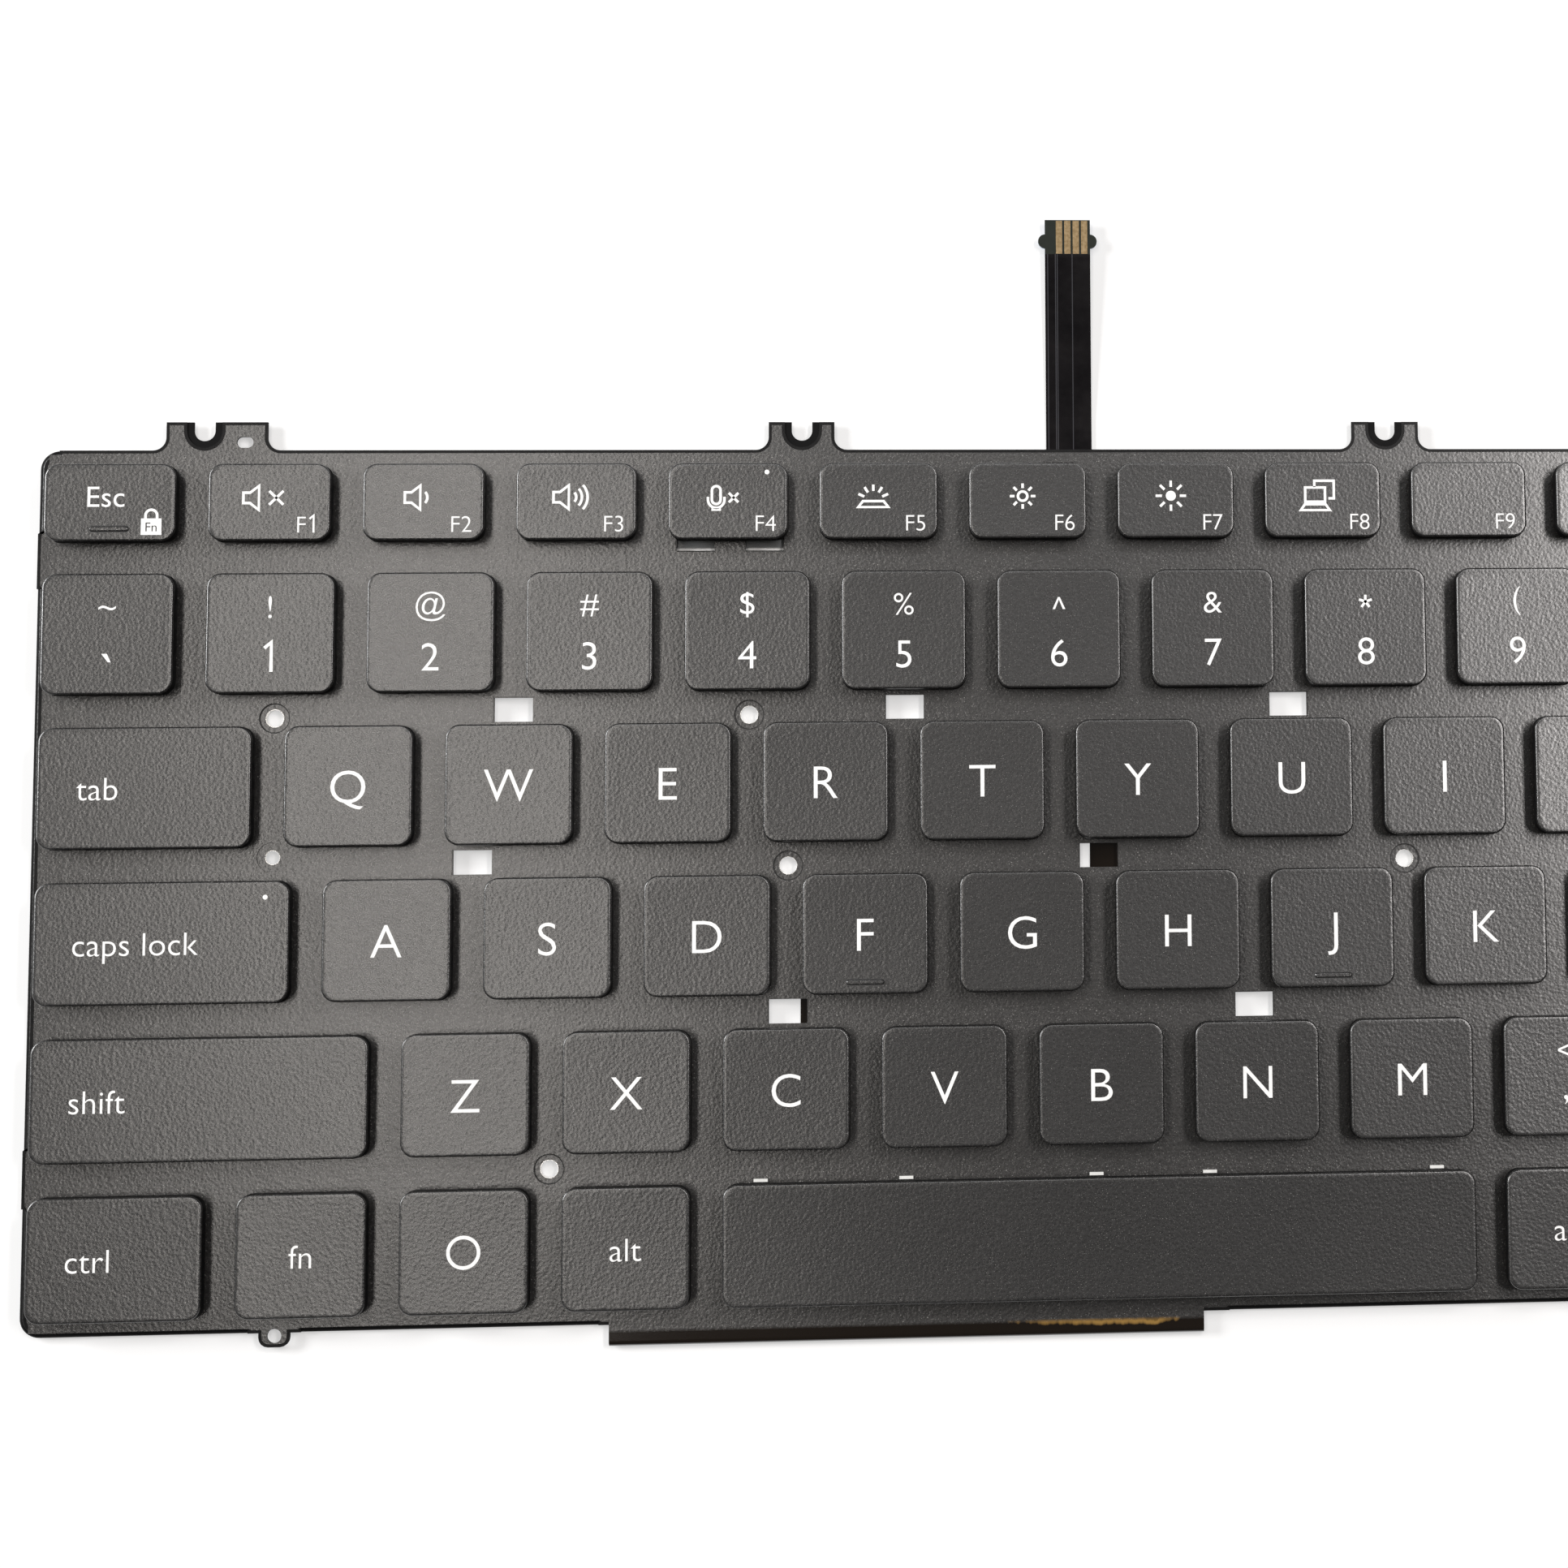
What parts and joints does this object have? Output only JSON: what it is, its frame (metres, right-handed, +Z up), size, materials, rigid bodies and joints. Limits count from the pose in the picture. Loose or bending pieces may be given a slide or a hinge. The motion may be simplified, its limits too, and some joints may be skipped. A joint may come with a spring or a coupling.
{
  "type": "laptop replacement keyboard",
  "caption": "Low-profile six-row laptop keyboard on a folded metal plate with screw tabs, a folded switch membrane and a backlight tail.",
  "frame": {"origin": "middle of the base plate, on the plane that its bent edges rest on", "axes": "+X along the rows to the right, +Y away from the typist to the screw tabs, +Z up through the key tops"},
  "size_m": [0.2618, 0.1309, 0.0047],
  "materials": {
    "plate_paint": "fine matt powder paint",
    "membrane_film": "dark printed polyester film",
    "dome_rubber": "translucent silicone",
    "link_plastic": "moulded acetal",
    "wire_steel": "drawn spring wire",
    "clip_plastic": "moulded acetal",
    "mask_film": "black printed film",
    "guide_plastic": "clear light guide with printed dots",
    "reflector_film": "white film",
    "back_film": "black film",
    "flex_film": "polyimide with a dark cover film",
    "led": "LED package",
    "stiffener": "blue stiffener film",
    "gold": "gold-plated contact",
    "cap_plastic": "fine-grained matt coating"
  },
  "bodies": {
    "frame": {"base_plate": "plate_paint", "membrane": "membrane_film", "rubber_domes": "dome_rubber", "outer_links": "link_plastic", "inner_links": "link_plastic", "stabiliser_wires": "wire_steel", "stabiliser_clips": "clip_plastic", "light_mask": "mask_film", "light_guide": "guide_plastic", "reflector": "reflector_film", "back_film": "back_film", "backlight_flex": "flex_film", "backlight_leds": "led", "tail_stiffener": "stiffener", "tail_contacts": "gold", "membrane_stiffener": "stiffener", "function_row_caps": "cap_plastic", "right_side_caps": "cap_plastic"},
    "key_esc": {"key_esc": "cap_plastic"},
    "key_grave": {"key_grave": "cap_plastic"},
    "key_1": {"key_1": "cap_plastic"},
    "key_2": {"key_2": "cap_plastic"},
    "key_3": {"key_3": "cap_plastic"},
    "key_4": {"key_4": "cap_plastic"},
    "key_5": {"key_5": "cap_plastic"},
    "key_6": {"key_6": "cap_plastic"},
    "key_7": {"key_7": "cap_plastic"},
    "key_8": {"key_8": "cap_plastic"},
    "key_9": {"key_9": "cap_plastic"},
    "key_tab": {"key_tab": "cap_plastic"},
    "key_q": {"key_q": "cap_plastic"},
    "key_w": {"key_w": "cap_plastic"},
    "key_e": {"key_e": "cap_plastic"},
    "key_r": {"key_r": "cap_plastic"},
    "key_t": {"key_t": "cap_plastic"},
    "key_y": {"key_y": "cap_plastic"},
    "key_u": {"key_u": "cap_plastic"},
    "key_i": {"key_i": "cap_plastic"},
    "key_caps_lock": {"key_caps_lock": "cap_plastic"},
    "key_a": {"key_a": "cap_plastic"},
    "key_s": {"key_s": "cap_plastic"},
    "key_d": {"key_d": "cap_plastic"},
    "key_f": {"key_f": "cap_plastic"},
    "key_g": {"key_g": "cap_plastic"},
    "key_h": {"key_h": "cap_plastic"},
    "key_j": {"key_j": "cap_plastic"},
    "key_k": {"key_k": "cap_plastic"},
    "key_left_shift": {"key_left_shift": "cap_plastic"},
    "key_z": {"key_z": "cap_plastic"},
    "key_x": {"key_x": "cap_plastic"},
    "key_c": {"key_c": "cap_plastic"},
    "key_v": {"key_v": "cap_plastic"},
    "key_b": {"key_b": "cap_plastic"},
    "key_n": {"key_n": "cap_plastic"},
    "key_m": {"key_m": "cap_plastic"},
    "key_left_ctrl": {"key_left_ctrl": "cap_plastic"},
    "key_fn": {"key_fn": "cap_plastic"},
    "key_system": {"key_system": "cap_plastic"},
    "key_left_alt": {"key_left_alt": "cap_plastic"},
    "key_space": {"key_space": "cap_plastic"}
  },
  "joints": [
    {"name": "esc_press", "type": "slide", "parent": "frame", "child": "key_esc", "axis": [0, 0, -1], "range_m": [0, 0.0013], "stiffness_N_per_m": 420, "springref_m": -0.0005, "deforming": ["rubber_domes", "outer_links", "inner_links", "stabiliser_wires"]},
    {"name": "grave_press", "type": "slide", "parent": "frame", "child": "key_grave", "axis": [0, 0, -1], "range_m": [0, 0.0013], "stiffness_N_per_m": 420, "springref_m": -0.0005},
    {"name": "1_press", "type": "slide", "parent": "frame", "child": "key_1", "axis": [0, 0, -1], "range_m": [0, 0.0013], "stiffness_N_per_m": 420, "springref_m": -0.0005},
    {"name": "2_press", "type": "slide", "parent": "frame", "child": "key_2", "axis": [0, 0, -1], "range_m": [0, 0.0013], "stiffness_N_per_m": 420, "springref_m": -0.0005},
    {"name": "3_press", "type": "slide", "parent": "frame", "child": "key_3", "axis": [0, 0, -1], "range_m": [0, 0.0013], "stiffness_N_per_m": 420, "springref_m": -0.0005},
    {"name": "4_press", "type": "slide", "parent": "frame", "child": "key_4", "axis": [0, 0, -1], "range_m": [0, 0.0013], "stiffness_N_per_m": 420, "springref_m": -0.0005},
    {"name": "5_press", "type": "slide", "parent": "frame", "child": "key_5", "axis": [0, 0, -1], "range_m": [0, 0.0013], "stiffness_N_per_m": 420, "springref_m": -0.0005},
    {"name": "6_press", "type": "slide", "parent": "frame", "child": "key_6", "axis": [0, 0, -1], "range_m": [0, 0.0013], "stiffness_N_per_m": 420, "springref_m": -0.0005},
    {"name": "7_press", "type": "slide", "parent": "frame", "child": "key_7", "axis": [0, 0, -1], "range_m": [0, 0.0013], "stiffness_N_per_m": 420, "springref_m": -0.0005},
    {"name": "8_press", "type": "slide", "parent": "frame", "child": "key_8", "axis": [0, 0, -1], "range_m": [0, 0.0013], "stiffness_N_per_m": 420, "springref_m": -0.0005},
    {"name": "9_press", "type": "slide", "parent": "frame", "child": "key_9", "axis": [0, 0, -1], "range_m": [0, 0.0013], "stiffness_N_per_m": 420, "springref_m": -0.0005},
    {"name": "tab_press", "type": "slide", "parent": "frame", "child": "key_tab", "axis": [0, 0, -1], "range_m": [0, 0.0013], "stiffness_N_per_m": 420, "springref_m": -0.0005},
    {"name": "q_press", "type": "slide", "parent": "frame", "child": "key_q", "axis": [0, 0, -1], "range_m": [0, 0.0013], "stiffness_N_per_m": 420, "springref_m": -0.0005},
    {"name": "w_press", "type": "slide", "parent": "frame", "child": "key_w", "axis": [0, 0, -1], "range_m": [0, 0.0013], "stiffness_N_per_m": 420, "springref_m": -0.0005},
    {"name": "e_press", "type": "slide", "parent": "frame", "child": "key_e", "axis": [0, 0, -1], "range_m": [0, 0.0013], "stiffness_N_per_m": 420, "springref_m": -0.0005},
    {"name": "r_press", "type": "slide", "parent": "frame", "child": "key_r", "axis": [0, 0, -1], "range_m": [0, 0.0013], "stiffness_N_per_m": 420, "springref_m": -0.0005},
    {"name": "t_press", "type": "slide", "parent": "frame", "child": "key_t", "axis": [0, 0, -1], "range_m": [0, 0.0013], "stiffness_N_per_m": 420, "springref_m": -0.0005},
    {"name": "y_press", "type": "slide", "parent": "frame", "child": "key_y", "axis": [0, 0, -1], "range_m": [0, 0.0013], "stiffness_N_per_m": 420, "springref_m": -0.0005},
    {"name": "u_press", "type": "slide", "parent": "frame", "child": "key_u", "axis": [0, 0, -1], "range_m": [0, 0.0013], "stiffness_N_per_m": 420, "springref_m": -0.0005},
    {"name": "i_press", "type": "slide", "parent": "frame", "child": "key_i", "axis": [0, 0, -1], "range_m": [0, 0.0013], "stiffness_N_per_m": 420, "springref_m": -0.0005},
    {"name": "caps_lock_press", "type": "slide", "parent": "frame", "child": "key_caps_lock", "axis": [0, 0, -1], "range_m": [0, 0.0013], "stiffness_N_per_m": 420, "springref_m": -0.0005},
    {"name": "a_press", "type": "slide", "parent": "frame", "child": "key_a", "axis": [0, 0, -1], "range_m": [0, 0.0013], "stiffness_N_per_m": 420, "springref_m": -0.0005},
    {"name": "s_press", "type": "slide", "parent": "frame", "child": "key_s", "axis": [0, 0, -1], "range_m": [0, 0.0013], "stiffness_N_per_m": 420, "springref_m": -0.0005},
    {"name": "d_press", "type": "slide", "parent": "frame", "child": "key_d", "axis": [0, 0, -1], "range_m": [0, 0.0013], "stiffness_N_per_m": 420, "springref_m": -0.0005},
    {"name": "f_press", "type": "slide", "parent": "frame", "child": "key_f", "axis": [0, 0, -1], "range_m": [0, 0.0013], "stiffness_N_per_m": 420, "springref_m": -0.0005},
    {"name": "g_press", "type": "slide", "parent": "frame", "child": "key_g", "axis": [0, 0, -1], "range_m": [0, 0.0013], "stiffness_N_per_m": 420, "springref_m": -0.0005},
    {"name": "h_press", "type": "slide", "parent": "frame", "child": "key_h", "axis": [0, 0, -1], "range_m": [0, 0.0013], "stiffness_N_per_m": 420, "springref_m": -0.0005},
    {"name": "j_press", "type": "slide", "parent": "frame", "child": "key_j", "axis": [0, 0, -1], "range_m": [0, 0.0013], "stiffness_N_per_m": 420, "springref_m": -0.0005},
    {"name": "k_press", "type": "slide", "parent": "frame", "child": "key_k", "axis": [0, 0, -1], "range_m": [0, 0.0013], "stiffness_N_per_m": 420, "springref_m": -0.0005},
    {"name": "left_shift_press", "type": "slide", "parent": "frame", "child": "key_left_shift", "axis": [0, 0, -1], "range_m": [0, 0.0013], "stiffness_N_per_m": 420, "springref_m": -0.0005},
    {"name": "z_press", "type": "slide", "parent": "frame", "child": "key_z", "axis": [0, 0, -1], "range_m": [0, 0.0013], "stiffness_N_per_m": 420, "springref_m": -0.0005},
    {"name": "x_press", "type": "slide", "parent": "frame", "child": "key_x", "axis": [0, 0, -1], "range_m": [0, 0.0013], "stiffness_N_per_m": 420, "springref_m": -0.0005},
    {"name": "c_press", "type": "slide", "parent": "frame", "child": "key_c", "axis": [0, 0, -1], "range_m": [0, 0.0013], "stiffness_N_per_m": 420, "springref_m": -0.0005},
    {"name": "v_press", "type": "slide", "parent": "frame", "child": "key_v", "axis": [0, 0, -1], "range_m": [0, 0.0013], "stiffness_N_per_m": 420, "springref_m": -0.0005},
    {"name": "b_press", "type": "slide", "parent": "frame", "child": "key_b", "axis": [0, 0, -1], "range_m": [0, 0.0013], "stiffness_N_per_m": 420, "springref_m": -0.0005},
    {"name": "n_press", "type": "slide", "parent": "frame", "child": "key_n", "axis": [0, 0, -1], "range_m": [0, 0.0013], "stiffness_N_per_m": 420, "springref_m": -0.0005},
    {"name": "m_press", "type": "slide", "parent": "frame", "child": "key_m", "axis": [0, 0, -1], "range_m": [0, 0.0013], "stiffness_N_per_m": 420, "springref_m": -0.0005},
    {"name": "left_ctrl_press", "type": "slide", "parent": "frame", "child": "key_left_ctrl", "axis": [0, 0, -1], "range_m": [0, 0.0013], "stiffness_N_per_m": 420, "springref_m": -0.0005},
    {"name": "fn_press", "type": "slide", "parent": "frame", "child": "key_fn", "axis": [0, 0, -1], "range_m": [0, 0.0013], "stiffness_N_per_m": 420, "springref_m": -0.0005},
    {"name": "system_press", "type": "slide", "parent": "frame", "child": "key_system", "axis": [0, 0, -1], "range_m": [0, 0.0013], "stiffness_N_per_m": 420, "springref_m": -0.0005},
    {"name": "left_alt_press", "type": "slide", "parent": "frame", "child": "key_left_alt", "axis": [0, 0, -1], "range_m": [0, 0.0013], "stiffness_N_per_m": 420, "springref_m": -0.0005},
    {"name": "space_press", "type": "slide", "parent": "frame", "child": "key_space", "axis": [0, 0, -1], "range_m": [0, 0.0013], "stiffness_N_per_m": 420, "springref_m": -0.0005}
  ]
}
